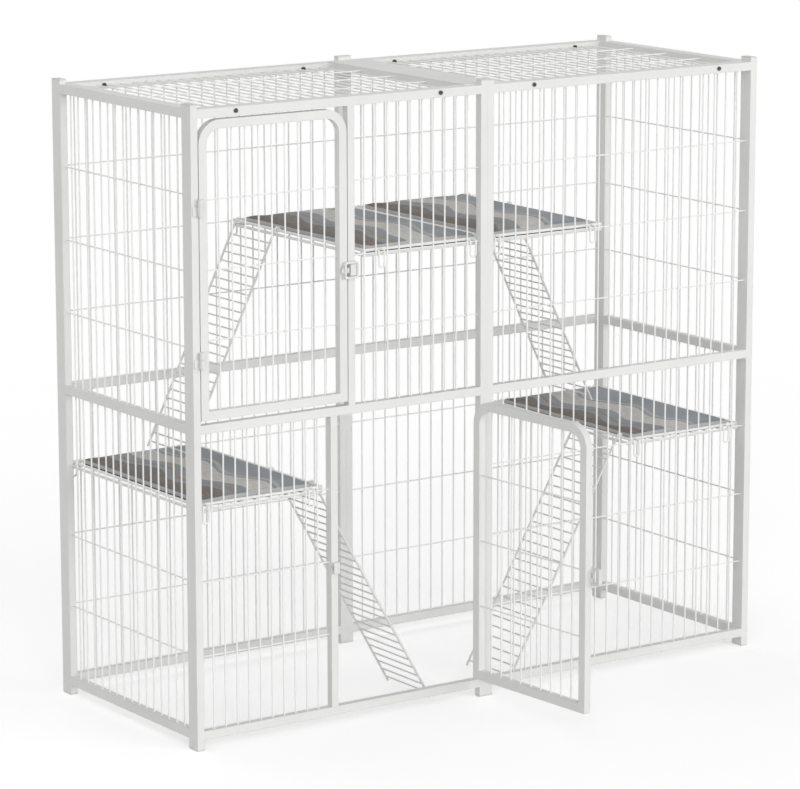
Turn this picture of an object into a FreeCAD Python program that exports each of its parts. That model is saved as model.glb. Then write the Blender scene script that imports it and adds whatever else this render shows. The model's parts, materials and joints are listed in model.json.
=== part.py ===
import FreeCAD, Part
import math
import os
import re
import Sketcher

# Two-storey cat cage: welded panels of square tube and round wire, bolted roof, two wire doors,
# four hooked-on shelves with mats and four wire ramps. Millimetres, +Z up, +X to the right along
# the front, +Y to the rear. The origin lies on the floor under the front centre posts, in the
# middle plane of the front panels.

SIZES = {
    # overall cage
    "overall_width": 1400,
    "overall_depth": 530,
    "overall_height": 1280,
    # tubes and panels
    "tube_size": 16,
    "tube_wall": 1.2,
    "rail_height": 18,
    "leg_length": 21,
    "post_rise": 10,
    "storey_height": 615,
    "cap_thickness": 2,
    "foot_thickness": 3,
    "plug_length": 12,
    "plug_clearance": 0.1,
    # wire grilles
    "wire_diameter": 3.4,
    "cross_diameter": 3,
    "weld_depth": 0.5,
    "front_wires": 21,
    "side_wires": 15,
    "narrow_wires": 10,
    "door_wires": 9,
    "cross_wires": 3,
    # doors
    "upper_opening": 345,
    "lower_opening": 350,
    "door_gap": 2,
    "door_top_gap": 4,
    "door_bottom_gap": 8,
    "door_tube": 18,
    "door_corner_radius": 48,
    "upper_door_open": 0,
    "lower_door_open": 94,
    # door hinges
    "hinge_low": 105,
    "hinge_high": 403,
    "hinge_standoff": 6.5,
    "knuckle_diameter": 11,
    "pin_diameter": 6,
    "pin_clearance": 0.05,
    "pin_overlength": 3,
    "sleeve_height": 18,
    "knuckle_height": 14,
    "knuckle_gap": 0.3,
    "leaf_thickness": 2,
    "leaf_width": 15,
    # door latches
    "upper_door_latch_height": 265,
    "lower_door_latch_height": 280,
    "ring_width": 33,
    "ring_height": 34,
    "ring_depth": 9,
    "ring_rim": 4.5,
    "ring_corner": 5,
    "ring_lap": 11,
    "ring_relief": 0.5,
    "window_corner": 2,
    "slider_thickness": 3,
    "slider_height": 10,
    "slider_standoff": 3,
    "slider_tail": 5,
    "slider_setback": 0.6,
    "slider_clearance": 0.4,
    "ridge_width": 2,
    "ridge_reach": 4,
    "keeper_wall": 1.8,
    "keeper_gap": 1,
    # roof
    "roof_joint_tube": 45,
    "roof_strip_thickness": 1.5,
    "bolt_diameter": 5,
    "bolt_clearance": 0.2,
    "thread_clearance": 0.1,
    "head_diameter": 8.5,
    "head_height": 2.5,
    "nut_width": 8,
    "nut_height": 4,
    "bolt_tip": 1.5,
    # shelves
    "shelf_width": 296,
    "shelf_gap": 6,
    "side_gap": 1,
    "shelf_meeting": 12,
    "meeting_gap": 4,
    "rim_diameter": 6,
    "rim_drop": 10,
    "deck_wires": 7,
    "deck_diameter": 3,
    "hook_diameter": 4,
    "hook_width": 13,
    "hook_drop": 24,
    "hook_clearance": 0.1,
    "mat_inset": 9,
    "mat_thickness": 21,
    "mat_clearance": 0.3,
    # ramps
    "ramp_width": 150,
    "ramp_rail": 5,
    "ramp_rung": 3.5,
    "ramp_rungs": 26,
    "rung_margin": 12,
    "upper_ramp_angle": 64,
    "lower_ramp_angle": 60,
    "upper_ramp_rear_gap": 12,
    "lower_ramp_front_gap": 34,
    "ramp_hook_clearance": 0.05,
    "ramp_foot_clearance": 0.5,
}

# Heights and planes that several pieces share, written in the named sizes.
HALF = "(overall_width / 2)"
LEFT = "(-overall_width / 2)"
FRONT_FACE = "(-tube_size / 2)"
REAR_PLANE = "(overall_depth - tube_size)"
INNER_DEPTH = "(overall_depth - 2 * tube_size)"
TOP = "(overall_height - post_rise)"
TOP_RAIL = "(overall_height - post_rise - rail_height)"
LOW_FLOOR = "(leg_length + rail_height)"
MID_RAIL = "(leg_length + storey_height)"
HIGH_FLOOR = "(leg_length + storey_height + rail_height)"
LOW_HEIGHT = "(storey_height - rail_height)"
HIGH_HEIGHT = "(overall_height - post_rise - leg_length - storey_height - 2 * rail_height)"
PANEL = "(overall_width / 2 - 2 * tube_size)"
UPPER_JAMB = "(-overall_width / 2 + tube_size + upper_opening)"
NARROW_UPPER = "(overall_width / 2 - 3 * tube_size - upper_opening)"
NARROW_LOWER = "(overall_width / 2 - 3 * tube_size - lower_opening)"
CROSS_OFFSET = "((wire_diameter + cross_diameter) / 2 - weld_depth)"
BOLT_LEVEL = "(overall_height - post_rise - tube_size / 2)"

doc = FreeCAD.newDocument("cat_cage")
sheet = doc.addObject("Spreadsheet::Sheet", "Sizes")
for row, (alias, value) in enumerate(SIZES.items(), start=1):
    sheet.set("A%d" % row, alias)
    sheet.set("B%d" % row, str(value))
    sheet.setAlias("B%d" % row, alias)
doc.recompute()

nodes = []


def size(alias):
    return float(sheet.get(alias))


def link(text):
    """Turn the named sizes in an expression into references to the sheet."""
    return re.sub(r"[a-z]+(?:_[a-z]+)+", lambda found: "Sizes." + found.group(0), text)


def bind(item, targets):
    for target, text in targets.items():
        item.setExpression(target, link(text))


def move(item, at, axis=None, angle=0):
    """Give an object a fixed turn and a place that follows the sheet."""
    turn = FreeCAD.Rotation(axis or FreeCAD.Vector(0, 0, 1), angle)
    item.Placement = FreeCAD.Placement(FreeCAD.Vector(), turn)
    for letter, text in zip("xyz", at):
        if text != "0":
            item.setExpression("Placement.Base." + letter, link(text))
    return item


def node(item, label):
    item.Label = label
    nodes.append(item)
    return item


X_AXIS = FreeCAD.Vector(1, 0, 0)
Y_AXIS = FreeCAD.Vector(0, 1, 0)
Z_AXIS = FreeCAD.Vector(0, 0, 1)


def box(name, extent, at):
    item = doc.addObject("Part::Box", name)
    bind(item, dict(zip(("Length", "Width", "Height"), extent)))
    return move(item, at)


def cylinder(name, diameter, length, at, along="z"):
    """A round bar that starts at a point and runs along +X, +Y or +Z."""
    item = doc.addObject("Part::Cylinder", name)
    bind(item, {"Radius": "(%s) / 2" % diameter, "Height": length})
    turn = {"x": (Y_AXIS, 90), "y": (X_AXIS, -90), "z": (Z_AXIS, 0)}[along]
    return move(item, at, *turn)


def fuse(name, items):
    item = doc.addObject("Part::MultiFuse", name)
    item.Shapes = items
    return item


def cut(name, base, tool):
    item = doc.addObject("Part::Cut", name)
    item.Base = base
    item.Tool = tool
    return item


def group(name, items):
    item = doc.addObject("Part::Compound", name)
    item.Links = items
    return item


def tube(name, extent, at, along):
    """A hollow square tube; along is the direction that it runs in."""
    hollow_extent = []
    hollow_at = []
    for letter, length, start in zip("xyz", extent, at):
        if letter == along:
            hollow_extent.append(length)
            hollow_at.append(start)
        else:
            hollow_extent.append("%s - 2 * tube_wall" % length)
            hollow_at.append("%s + tube_wall" % start)
    outside = box(name + "_outside", extent, at)
    inside = box(name + "_inside", hollow_extent, hollow_at)
    return cut(name, outside, inside)


def drilled(name, item, holes):
    return cut(name, item, group(name + "_holes", holes))


def bolt_hole(name, x, y, length):
    return cylinder(name, "bolt_diameter + 2 * bolt_clearance", length, (x, y, BOLT_LEVEL), "y")


def gap_centre(start, span, uprights, number):
    """The middle of one of a grille's gaps, so that a bolt or a hook passes between two wires."""
    return "(%s + %s * %s / (%s + 1))" % (start, span, number + 0.5, uprights)


# The roof bolts stand in gaps of the roof grilles, near both ends of each panel.
ROOF_SPAN = "(overall_width / 2 - 2 * tube_size - roof_joint_tube)"
ROOF_LEFT_START = "(-overall_width / 2 + 2 * tube_size)"
LEFT_BOLTS = [gap_centre(ROOF_LEFT_START, ROOF_SPAN, "front_wires", number) for number in (2, 19)]
RIGHT_BOLTS = [gap_centre("roof_joint_tube", ROOF_SPAN, "front_wires", number) for number in (2, 19)]
LEFT_PANEL_BOLTS = ["(%s + overall_width / 2)" % place for place in LEFT_BOLTS]


# Wall panels: each has two posts, three rails and, beside a door, a jamb. A panel is built in its
# own frame, with x along its width from its left post and y across its middle plane.

def wall_tubes(name, width, bolts=()):
    span = "(%s - 2 * tube_size)" % width
    post = ("tube_size", "tube_size", "(overall_height - cap_thickness - foot_thickness)")
    rail = (span, "tube_size", "rail_height")
    right = "(%s - tube_size)" % width
    tubes = [
        tube(name + "_left_post", post, ("0 * tube_size", FRONT_FACE, "foot_thickness"), "z"),
        tube(name + "_right_post", post, (right, FRONT_FACE, "foot_thickness"), "z"),
        tube(name + "_bottom_rail", rail, ("tube_size", FRONT_FACE, "leg_length"), "x"),
        tube(name + "_middle_rail", rail, ("tube_size", FRONT_FACE, MID_RAIL), "x"),
    ]
    top_rail = tube(name + "_top_rail", rail, ("tube_size", FRONT_FACE, TOP_RAIL), "x")
    if bolts:
        holes = []
        for count, x in enumerate(bolts):
            holes.append(bolt_hole("%s_hole_%d" % (name, count), x, FRONT_FACE, "tube_size"))
        top_rail = drilled(name + "_drilled_top_rail", top_rail, holes)
    return tubes + [top_rail]


def jamb(name, x, z, height):
    return tube(name, ("tube_size", "tube_size", height), (x, FRONT_FACE, z), "z")


front_left = wall_tubes("front_left", HALF, LEFT_PANEL_BOLTS)
front_left.append(jamb("upper_jamb", "(tube_size + upper_opening)", HIGH_FLOOR, HIGH_HEIGHT))
lower_jamb_place = "(overall_width / 2 - 2 * tube_size - lower_opening)"
front_left.append(jamb("lower_jamb", lower_jamb_place, LOW_FLOOR, LOW_HEIGHT))
frame = node(group("front_left_tubes", front_left), "front_left_panel_frame")
move(frame, (LEFT, "0", "0"))

front_right = wall_tubes("front_right", HALF, RIGHT_BOLTS)
node(group("front_right_tubes", front_right), "front_right_panel_frame")
rear_left = wall_tubes("rear_left", HALF, LEFT_PANEL_BOLTS)
frame = node(group("rear_left_tubes", rear_left), "rear_left_panel_frame")
move(frame, (LEFT, REAR_PLANE, "0"))
rear_right = wall_tubes("rear_right", HALF, RIGHT_BOLTS)
frame = node(group("rear_right_tubes", rear_right), "rear_right_panel_frame")
move(frame, ("0", REAR_PLANE, "0"))

# The side panels stand between the front and rear panels, flush with the ends.
left_plane = "(-overall_width / 2 + tube_size / 2)"
right_plane = "(overall_width / 2 - tube_size / 2)"
frame = node(group("left_side_tubes", wall_tubes("left_side", INNER_DEPTH)), "left_side_panel_frame")
move(frame, (left_plane, "tube_size / 2", "0"), Z_AXIS, 90)
frame = node(group("right_side_tubes", wall_tubes("right_side", INNER_DEPTH)), "right_side_panel_frame")
move(frame, (right_plane, "tube_size / 2", "0"), Z_AXIS, 90)


# Roof panels lie between the top rails and are bolted to the front and rear ones. The wide end
# tubes with which they meet are covered by a flat strip.

def roof_frame(label, x, left_width, right_width, bolts):
    length = "(overall_width / 2 - tube_size)"
    base = "(overall_height - post_rise - tube_size)"
    back = "(overall_depth - 2.5 * tube_size)"
    end_length = "(overall_depth - 4 * tube_size)"
    long_tube = (length, "tube_size", "tube_size")
    tubes = []
    for side, y in (("front", "tube_size / 2"), ("rear", back)):
        bar = tube("%s_%s_tube" % (label, side), long_tube, (x, y, base), "x")
        holes = []
        for count, place in enumerate(bolts):
            holes.append(bolt_hole("%s_%s_hole_%d" % (label, side, count), place, y, "tube_size"))
        tubes.append(drilled("%s_%s_drilled" % (label, side), bar, holes))
    far = "%s + %s - %s" % (x, length, right_width)
    for side, start, width in (("left", x, left_width), ("right", far, right_width)):
        end_tube = (width, end_length, "tube_size")
        tubes.append(tube("%s_%s_end" % (label, side), end_tube, (start, "1.5 * tube_size", base), "y"))
    node(group(label + "_tubes", tubes), label)


left_roof = "(-overall_width / 2 + tube_size)"
roof_frame("roof_left_frame", left_roof, "tube_size", "roof_joint_tube", LEFT_BOLTS)
roof_frame("roof_right_frame", "(0 * tube_size)", "roof_joint_tube", "tube_size", RIGHT_BOLTS)

strip_size = ("2 * roof_joint_tube", INNER_DEPTH, "roof_strip_thickness")
strip = box("roof_strip", strip_size, ("-roof_joint_tube", "tube_size / 2", TOP))
node(strip, "roof_centre_strip")


# Bodies and sketches for the wire work.

def new_body(name):
    item = doc.addObject("PartDesign::Body", name)
    item.AllowCompound = True
    return item


def origin_feature(body, role):
    return next(item for item in body.Origin.OriginFeatures if item.Role == role)


def new_sketch(body, name, role):
    item = body.newObject("Sketcher::SketchObject", name)
    item.AttachmentSupport = [(origin_feature(body, role), "")]
    item.MapMode = "FlatFace"
    return item


def dimension(sketch, constraint, text):
    index = sketch.addConstraint(constraint)
    sketch.setExpression("Constraints[%d]" % index, link(text))


ORIGIN_POINT = (-1, 1)
H_AXIS = -1
V_AXIS = -2


def circle(sketch, diameter, across=None, up=None):
    """A circle whose centre is set from the sketch origin, or lies on an axis where it is None."""
    shape = Part.Circle(FreeCAD.Vector(20 if across else 0, 20 if up else 0, 0), Z_AXIS, 2)
    index = sketch.addGeometry(shape, False)
    dimension(sketch, Sketcher.Constraint("Diameter", index, 4.0), diameter)
    if across:
        dimension(sketch, Sketcher.Constraint("DistanceX", *ORIGIN_POINT, index, 3, 20.0), across)
    else:
        sketch.addConstraint(Sketcher.Constraint("PointOnObject", index, 3, V_AXIS))
    if up:
        dimension(sketch, Sketcher.Constraint("DistanceY", *ORIGIN_POINT, index, 3, 20.0), up)
    else:
        sketch.addConstraint(Sketcher.Constraint("PointOnObject", index, 3, H_AXIS))


def pad(body, sketch, name, length, reverse=False):
    item = body.newObject("PartDesign::Pad", name)
    item.Profile = sketch
    item.Reversed = reverse
    bind(item, {"Length": length})
    body.Tip = item
    return item


def repeat(body, feature, name, axis, length, count, reverse=False):
    item = body.newObject("PartDesign::LinearPattern", name)
    item.Originals = [feature]
    item.Direction = (origin_feature(body, axis), [""])
    item.Reversed = reverse
    bind(item, {"Length": length, "Occurrences": count})
    body.Tip = item
    return item


# A grille is built with x along its width, z along its uprights and its cross wires on the +y side.
# Every wire ends on the face of a tube.

def grille(label, span, height, uprights):
    body = new_body(label + "_wires")
    section = new_sketch(body, label + "_cross_section", "YZ_Plane")
    circle(section, "cross_diameter", CROSS_OFFSET, "%s / (cross_wires + 1)" % height)
    wire = pad(body, section, label + "_cross", span)
    run = "%s * (cross_wires - 1) / (cross_wires + 1)" % height
    repeat(body, wire, label + "_cross_set", "Z_Axis", run, "cross_wires")
    section = new_sketch(body, label + "_upright_section", "XY_Plane")
    circle(section, "wire_diameter", "%s / (%s + 1)" % (span, uprights))
    wire = pad(body, section, label + "_upright", height)
    run = "%s * (%s - 1) / (%s + 1)" % (span, uprights, uprights)
    repeat(body, wire, label + "_upright_set", "X_Axis", run, uprights)
    return node(body, label)


narrow_start = "(%s + tube_size)" % UPPER_JAMB
low_start = "(-overall_width / 2 + tube_size)"
item = grille("front_left_upper_grille", NARROW_UPPER, HIGH_HEIGHT, "narrow_wires")
move(item, (narrow_start, "0", HIGH_FLOOR))
item = grille("front_left_lower_grille", NARROW_LOWER, LOW_HEIGHT, "narrow_wires")
move(item, (low_start, "0", LOW_FLOOR))

for storey, floor, height in (("upper", HIGH_FLOOR, HIGH_HEIGHT), ("lower", LOW_FLOOR, LOW_HEIGHT)):
    item = grille("front_right_%s_grille" % storey, PANEL, height, "front_wires")
    move(item, ("tube_size", "0", floor))
    item = grille("rear_left_%s_grille" % storey, PANEL, height, "front_wires")
    move(item, ("-tube_size", REAR_PLANE, floor), Z_AXIS, 180)
    item = grille("rear_right_%s_grille" % storey, PANEL, height, "front_wires")
    move(item, ("(overall_width / 2 - tube_size)", REAR_PLANE, floor), Z_AXIS, 180)
    side_span = "(overall_depth - 4 * tube_size)"
    item = grille("left_side_%s_grille" % storey, side_span, height, "side_wires")
    move(item, (left_plane, "(overall_depth - 2.5 * tube_size)", floor), Z_AXIS, -90)
    item = grille("right_side_%s_grille" % storey, side_span, height, "side_wires")
    move(item, (right_plane, "1.5 * tube_size", floor), Z_AXIS, 90)

roof_depth = "(overall_depth - 4 * tube_size)"
roof_rear = "(overall_depth - 2.5 * tube_size)"
item = grille("roof_left_grille", ROOF_SPAN, roof_depth, "front_wires")
move(item, (ROOF_LEFT_START, roof_rear, BOLT_LEVEL), X_AXIS, 90)
item = grille("roof_right_grille", ROOF_SPAN, roof_depth, "front_wires")
move(item, ("roof_joint_tube", roof_rear, BOLT_LEVEL), X_AXIS, 90)


# Doors. Each is built closed, in a frame at its lower left corner, and then swung about its hinge.

class Door:
    def __init__(self, name, left, floor, height, opening, hinge_on_left):
        self.name = name
        self.width = "(%s - 2 * door_gap)" % opening
        self.height = "(%s - door_top_gap - door_bottom_gap)" % height
        self.left = "(%s + door_gap)" % left
        self.base = "(%s + door_bottom_gap)" % floor
        self.angle = name + "_open"
        self.latch = name + "_latch_height"
        self.hinge_on_left = hinge_on_left
        self.hinge_x = "(-door_gap / 2)" if hinge_on_left else "(%s + door_gap / 2)" % self.width
        self.hinge_y = "(-tube_size / 2 - hinge_standoff)"

    def past_edge(self, start, length):
        """The x of a piece that starts this far past the door's free edge, toward the jamb."""
        if self.hinge_on_left:
            return "(%s + %s)" % (self.width, start)
        return "(-%s - %s)" % (start, length)

    def place(self, item, x="0 * door_gap", z="0 * door_gap"):
        """Swing a piece, set in the closed door at x and z, to the door's open angle."""
        swing = "(-%s)" % self.angle if self.hinge_on_left else "(%s)" % self.angle
        reach = "(%s - %s)" % (x, self.hinge_x)
        across = "(-%s)" % self.hinge_y
        item.Placement = FreeCAD.Placement(FreeCAD.Vector(), FreeCAD.Rotation(Z_AXIS, 1))
        bind(item, {
            "Placement.Rotation.Angle": swing,
            "Placement.Base.x": "%s + %s + %s * cos(%s) - %s * sin(%s)"
            % (self.left, self.hinge_x, reach, swing, across, swing),
            "Placement.Base.y": "%s + %s * sin(%s) + %s * cos(%s)"
            % (self.hinge_y, reach, swing, across, swing),
            "Placement.Base.z": "%s + %s" % (self.base, z),
        })
        return item


def rectangle(sketch, left, low, wide, high, numbers):
    """A rectangle set from the sketch origin; numbers are its starting corner and sides."""
    x, y, width, height = numbers
    corners = [(x, y), (x + width, y), (x + width, y + height), (x, y + height)]
    points = [FreeCAD.Vector(*corner, 0) for corner in corners]
    lines = []
    for start, end in zip(points, points[1:] + points[:1]):
        lines.append(sketch.addGeometry(Part.LineSegment(start, end), False))
    for index, line in enumerate(lines):
        sketch.addConstraint(Sketcher.Constraint("Coincident", line, 2, lines[(index + 1) % 4], 1))
        kind = "Horizontal" if index % 2 == 0 else "Vertical"
        sketch.addConstraint(Sketcher.Constraint(kind, line))
    dimension(sketch, Sketcher.Constraint("DistanceX", *ORIGIN_POINT, lines[0], 1, x), left)
    dimension(sketch, Sketcher.Constraint("DistanceY", *ORIGIN_POINT, lines[0], 1, y), low)
    dimension(sketch, Sketcher.Constraint("DistanceX", lines[0], 1, lines[0], 2, width), wide)
    dimension(sketch, Sketcher.Constraint("DistanceY", lines[1], 1, lines[1], 2, height), high)


def bent_tube(door, numbers):
    """The door's frame tube: up one side, round two corners and down the other side."""
    width, height = numbers
    thick = size("door_tube")
    bend = size("door_corner_radius") - thick / 2
    low_x = thick / 2
    high_x = width - thick / 2
    crown = height - thick / 2
    body = new_body(door.name + "_bent_tube")
    path = new_sketch(body, door.name + "_tube_path", "XZ_Plane")
    vector = FreeCAD.Vector
    line = Part.LineSegment(vector(low_x, 0, 0), vector(low_x, crown - bend, 0))
    near = path.addGeometry(line, False)
    turn = Part.Circle(vector(low_x + bend, crown - bend, 0), Z_AXIS, bend)
    near_bend = path.addGeometry(Part.ArcOfCircle(turn, math.pi / 2, math.pi), False)
    line = Part.LineSegment(vector(low_x + bend, crown, 0), vector(high_x - bend, crown, 0))
    top = path.addGeometry(line, False)
    turn = Part.Circle(vector(high_x - bend, crown - bend, 0), Z_AXIS, bend)
    far_bend = path.addGeometry(Part.ArcOfCircle(turn, 0, math.pi / 2), False)
    line = Part.LineSegment(vector(high_x, crown - bend, 0), vector(high_x, 0, 0))
    far = path.addGeometry(line, False)
    path.addConstraint(Sketcher.Constraint("Tangent", near, 2, near_bend, 2))
    path.addConstraint(Sketcher.Constraint("Tangent", near_bend, 1, top, 1))
    path.addConstraint(Sketcher.Constraint("Tangent", top, 2, far_bend, 2))
    path.addConstraint(Sketcher.Constraint("Tangent", far_bend, 1, far, 1))
    path.addConstraint(Sketcher.Constraint("Vertical", near))
    path.addConstraint(Sketcher.Constraint("Vertical", far))
    path.addConstraint(Sketcher.Constraint("PointOnObject", near, 1, H_AXIS))
    path.addConstraint(Sketcher.Constraint("PointOnObject", far, 2, H_AXIS))
    path.addConstraint(Sketcher.Constraint("Equal", near_bend, far_bend))
    dimension(path, Sketcher.Constraint("Radius", near_bend, bend), "door_corner_radius - door_tube / 2")
    dimension(path, Sketcher.Constraint("DistanceX", *ORIGIN_POINT, near, 1, low_x), "door_tube / 2")
    between = "%s - door_tube" % door.width
    dimension(path, Sketcher.Constraint("DistanceX", near, 1, far, 2, high_x - low_x), between)
    rise = "%s - door_tube / 2" % door.height
    dimension(path, Sketcher.Constraint("DistanceY", *ORIGIN_POINT, top, 1, crown), rise)
    section = new_sketch(body, door.name + "_tube_section", "XY_Plane")
    section.AttachmentOffset = FreeCAD.Placement(FreeCAD.Vector(0, -1, 0), FreeCAD.Rotation())
    bind(section, {"AttachmentOffset.Base.y": "-tube_size / 2"})
    deep = size("tube_size")
    wall = size("tube_wall")
    rectangle(section, "0 * door_tube", "0 * door_tube", "door_tube", "tube_size", (0, 0, thick, deep))
    inner = (wall, wall, thick - 2 * wall, deep - 2 * wall)
    inner_width = "door_tube - 2 * tube_wall"
    rectangle(section, "tube_wall", "tube_wall", inner_width, "tube_size - 2 * tube_wall", inner)
    pipe = body.newObject("PartDesign::AdditivePipe", door.name + "_tube_sweep")
    pipe.Profile = section
    pipe.Spine = (path, ["Edge%d" % number for number in range(1, 6)])
    body.Tip = pipe
    return body


def hinge_leaf_start(door, width):
    return door.hinge_x if door.hinge_on_left else "(%s - %s)" % (door.hinge_x, width)


def hinge_pin(door, place, at):
    """A leaf on the door with a knuckle above the sleeve and a pin down through it."""
    name = "%s_%s_pin" % (door.name, place)
    above = "%s + sleeve_height + knuckle_gap" % at
    knuckle_at = (door.hinge_x, door.hinge_y, above)
    knuckle = cylinder(name + "_knuckle", "knuckle_diameter", "knuckle_height", knuckle_at)
    length = "sleeve_height + knuckle_gap + pin_overlength + knuckle_height / 2"
    pin_at = (door.hinge_x, door.hinge_y, "%s - pin_overlength" % at)
    pin = cylinder(name + "_rod", "pin_diameter", length, pin_at)
    leaf_size = ("leaf_width", "leaf_thickness", "knuckle_height")
    leaf_y = "(-tube_size / 2 - leaf_thickness)"
    leaf = box(name + "_leaf", leaf_size, (hinge_leaf_start(door, "leaf_width"), leaf_y, above))
    return fuse(name, [knuckle, pin, leaf])


def hinge_sleeve(door, place, at):
    """A sleeve on a leaf that is welded to the post beside the door."""
    name = "%s_%s_sleeve" % (door.name, place)
    x = "%s + %s" % (door.left, door.hinge_x)
    z = "%s + %s" % (door.base, at)
    barrel = cylinder(name + "_barrel", "knuckle_diameter", "sleeve_height", (x, door.hinge_y, z))
    leaf_size = ("leaf_width", "leaf_thickness", "sleeve_height")
    leaf_x = "%s - leaf_width" % x if door.hinge_on_left else x
    leaf = box(name + "_leaf", leaf_size, (leaf_x, "-tube_size / 2 - leaf_thickness", z))
    bore = cylinder(name + "_bore", "pin_diameter + 2 * pin_clearance", "sleeve_height", (x, door.hinge_y, z))
    return cut(name, fuse(name + "_blank", [barrel, leaf]), bore)


def rounded_block(name, extent, at, radius):
    """A block whose four edges along y are rounded."""
    wide, deep, high = extent
    x, y, z = at
    inner_wide = "(%s - 2 * %s)" % (wide, radius)
    inner_high = "(%s - 2 * %s)" % (high, radius)
    inner_x = "(%s + %s)" % (x, radius)
    inner_z = "(%s + %s)" % (z, radius)
    pieces = [
        box(name + "_upright", (inner_wide, deep, high), (inner_x, y, z)),
        box(name + "_level", (wide, deep, inner_high), (x, y, inner_z)),
    ]
    for side, corner_x in (("left", inner_x), ("right", "%s + %s" % (inner_x, inner_wide))):
        for end, corner_z in (("low", inner_z), ("high", "%s + %s" % (inner_z, inner_high))):
            title = "%s_%s_%s" % (name, side, end)
            pieces.append(cylinder(title, "2 * " + radius, deep, (corner_x, y, corner_z), "y"))
    block = fuse(name, pieces)
    block.Refine = True
    return block


# A latch is a ring on the door that reaches over the jamb and round a keeper, and a flat bolt that
# slides in the ring and into the keeper.

SLIDER_FRONT = "(-tube_size / 2 - slider_standoff - slider_thickness)"
SLOT_DEPTH = "(slider_thickness + 2 * slider_clearance)"
SLOT_HEIGHT = "(slider_height + 2 * slider_clearance)"
WINDOW_WIDTH = "(ring_width - 2 * ring_rim)"
WINDOW_HEIGHT = "(ring_height - 2 * ring_rim)"


def latch_ring(door):
    """A rounded ring on the door's free side, slotted for the bolt and clear of the jamb."""
    front = "(-tube_size / 2 - ring_depth)"
    low = "(%s - ring_height / 2)" % door.latch
    start = door.past_edge("(-ring_lap)", "ring_width")
    outside_size = ("ring_width", "ring_depth", "ring_height")
    outside = rounded_block(door.name + "_ring_outside", outside_size, (start, front, low), "ring_corner")
    window_size = (WINDOW_WIDTH, "ring_depth", WINDOW_HEIGHT)
    window_at = ("(%s + ring_rim)" % start, front, "(%s + ring_rim)" % low)
    window = rounded_block(door.name + "_ring_window", window_size, window_at, "window_corner")
    lip = "(ring_width - ring_lap)"
    relief_at = (door.past_edge("(0 * ring_lap)", lip), "-tube_size / 2 - ring_relief", low)
    relief = box(door.name + "_ring_relief", (lip, "ring_relief", "ring_height"), relief_at)
    slot_x = door.past_edge("(-ring_lap)", "ring_rim")
    slot_at = (slot_x, "%s - slider_clearance" % SLIDER_FRONT, "%s - %s / 2" % (door.latch, SLOT_HEIGHT))
    slot = box(door.name + "_ring_slot", ("ring_rim", SLOT_DEPTH, SLOT_HEIGHT), slot_at)
    return cut(door.name + "_ring_body", outside, group(door.name + "_ring_cuts", [window, relief, slot]))


def latch_bolt(door):
    """A flat bolt through the ring's slot, drawn back from the keeper, with a ridge to push it by."""
    length = "(slider_tail + ring_lap + door_gap - slider_setback)"
    plate_x = door.past_edge("(-ring_lap - slider_tail)", length)
    low = "(%s - slider_height / 2)" % door.latch
    plate_size = (length, "slider_thickness", "slider_height")
    plate = box(door.name + "_bolt_plate", plate_size, (plate_x, SLIDER_FRONT, low))
    ridge_x = door.past_edge("(ring_rim + slider_clearance - ring_lap)", "ridge_width")
    ridge_size = ("ridge_width", "ridge_reach", "slider_height")
    ridge = box(door.name + "_bolt_ridge", ridge_size, (ridge_x, "%s - ridge_reach" % SLIDER_FRONT, low))
    return fuse(door.name + "_bolt_body", [plate, ridge])


def latch_keeper(door):
    """A strap on the jamb that stands inside the ring of the closed door, clear of the bolt's ridge."""
    length = "(%s + ring_rim - ring_lap - 2 * keeper_gap - door_gap)" % WINDOW_WIDTH
    height = "(%s - 2 * keeper_gap)" % WINDOW_HEIGHT
    hollow_depth = "(slider_standoff + slider_thickness + slider_clearance)"
    x = "(%s + %s)" % (door.left, door.past_edge("(door_gap + keeper_gap)", length))
    y = "(-tube_size / 2 - %s)" % hollow_depth
    z = "(%s + %s)" % (door.base, door.latch)
    shell_size = (length, "%s + keeper_wall" % hollow_depth, height)
    shell_at = (x, "%s - keeper_wall" % y, "%s - %s / 2" % (z, height))
    shell = box(door.name + "_keeper_shell", shell_size, shell_at)
    hollow_size = (length, hollow_depth, SLOT_HEIGHT)
    hollow = box(door.name + "_keeper_hollow", hollow_size, (x, y, "%s - %s / 2" % (z, SLOT_HEIGHT)))
    return cut(door.name + "_keeper_strap", shell, hollow)


def build_door(door, numbers):
    bottom_size = ("(%s - 2 * door_tube)" % door.width, "tube_size", "door_tube")
    bottom = tube(door.name + "_bottom_rail", bottom_size, ("door_tube", FRONT_FACE, "0 * door_tube"), "x")
    frame = group(door.name + "_tubes", [bent_tube(door, numbers), bottom])
    door.place(node(frame, door.name + "_frame"))
    wires_span = "(%s - 2 * door_tube)" % door.width
    wires_height = "(%s - 2 * door_tube)" % door.height
    wires = grille(door.name + "_grille", wires_span, wires_height, "door_wires")
    door.place(wires, "door_tube", "door_tube")
    hinges = (("low", "hinge_low"), ("high", "hinge_high"))
    pins = group(door.name + "_pin_pair", [hinge_pin(door, place, at) for place, at in hinges])
    door.place(node(pins, door.name + "_hinge_pins"))
    sleeves = [hinge_sleeve(door, place, at) for place, at in hinges]
    node(group(door.name + "_sleeve_pair", sleeves), door.name + "_hinge_sleeves")
    door.place(node(latch_ring(door), door.name + "_latch_ring"))
    door.place(node(latch_bolt(door), door.name + "_latch_bolt"))
    node(latch_keeper(door), door.name + "_latch_keeper")


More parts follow.
